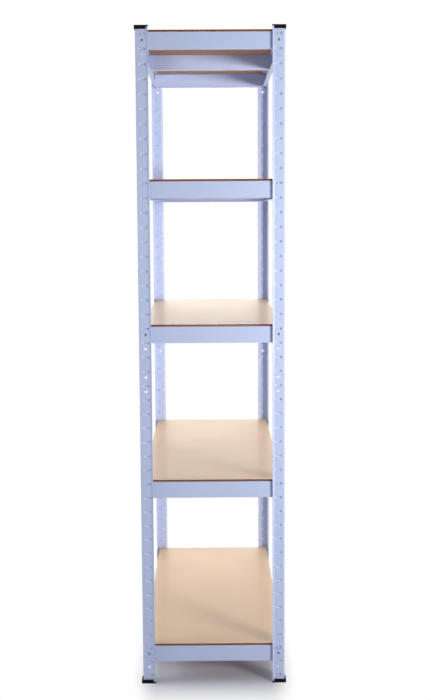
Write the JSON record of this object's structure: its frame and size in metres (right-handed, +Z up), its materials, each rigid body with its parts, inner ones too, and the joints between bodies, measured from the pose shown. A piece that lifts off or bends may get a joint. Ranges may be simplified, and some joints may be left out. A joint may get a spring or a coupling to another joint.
{
  "type": "boltless shelving unit",
  "caption": "Tall free-standing boltless shelving: slotted steel corner posts, hooked steel beams and loose fibre boards on open levels, with black plastic feet and caps.",
  "frame": {"origin": "centre of the footprint on the floor, at the height of the feet's soles", "axes": "+Z up the posts, +X along the long side, +Y across the short side to the back"},
  "size_m": [0.9036, 0.4036, 1.8],
  "materials": {
    "painted_steel": "satin pale blue-grey powder coat",
    "fibreboard": "smooth beige face with a dark brown cut edge",
    "black_plastic": "matt moulded black"
  },
  "bodies": {
    "frame": {"lower_post_front_left": "painted_steel", "lower_post_front_right": "painted_steel", "lower_post_back_left": "painted_steel", "lower_post_back_right": "painted_steel", "upper_post_front_left": "painted_steel", "upper_post_front_right": "painted_steel", "upper_post_back_left": "painted_steel", "upper_post_back_right": "painted_steel", "splice_front_left": "painted_steel", "splice_front_right": "painted_steel", "splice_back_left": "painted_steel", "splice_back_right": "painted_steel", "foot_front_left": "black_plastic", "foot_front_right": "black_plastic", "foot_back_left": "black_plastic", "foot_back_right": "black_plastic", "cap_front_left": "black_plastic", "cap_front_right": "black_plastic", "cap_back_left": "black_plastic", "cap_back_right": "black_plastic", "front_beam_1": "painted_steel", "front_beam_2": "painted_steel", "front_beam_3": "painted_steel", "front_beam_4": "painted_steel", "front_beam_5": "painted_steel", "back_beam_1": "painted_steel", "back_beam_2": "painted_steel", "back_beam_3": "painted_steel", "back_beam_4": "painted_steel", "back_beam_5": "painted_steel", "left_beam_1": "painted_steel", "left_beam_2": "painted_steel", "left_beam_3": "painted_steel", "left_beam_4": "painted_steel", "left_beam_5": "painted_steel", "right_beam_1": "painted_steel", "right_beam_2": "painted_steel", "right_beam_3": "painted_steel", "right_beam_4": "painted_steel", "right_beam_5": "painted_steel", "centre_bar_1": "painted_steel", "centre_bar_2": "painted_steel", "centre_bar_3": "painted_steel", "centre_bar_4": "painted_steel", "centre_bar_5": "painted_steel"},
    "board_1": {"shelf_board_1": "fibreboard"},
    "board_2": {"shelf_board_2": "fibreboard"},
    "board_3": {"shelf_board_3": "fibreboard"},
    "board_4": {"shelf_board_4": "fibreboard"},
    "board_5": {"shelf_board_5": "fibreboard"}
  },
  "joints": [
    {"name": "board_1_lift", "type": "slide", "parent": "frame", "child": "board_1", "axis": [0, 0, 1], "range_m": [0, 0.4155]},
    {"name": "board_2_lift", "type": "slide", "parent": "frame", "child": "board_2", "axis": [0, 0, 1], "range_m": [0, 0.3765]},
    {"name": "board_3_lift", "type": "slide", "parent": "frame", "child": "board_3", "axis": [0, 0, 1], "range_m": [0, 0.3375]},
    {"name": "board_4_lift", "type": "slide", "parent": "frame", "child": "board_4", "axis": [0, 0, 1], "range_m": [0, 0.3375]},
    {"name": "board_5_lift", "type": "slide", "parent": "frame", "child": "board_5", "axis": [0, 0, 1], "range_m": [0, 0.15]}
  ]
}
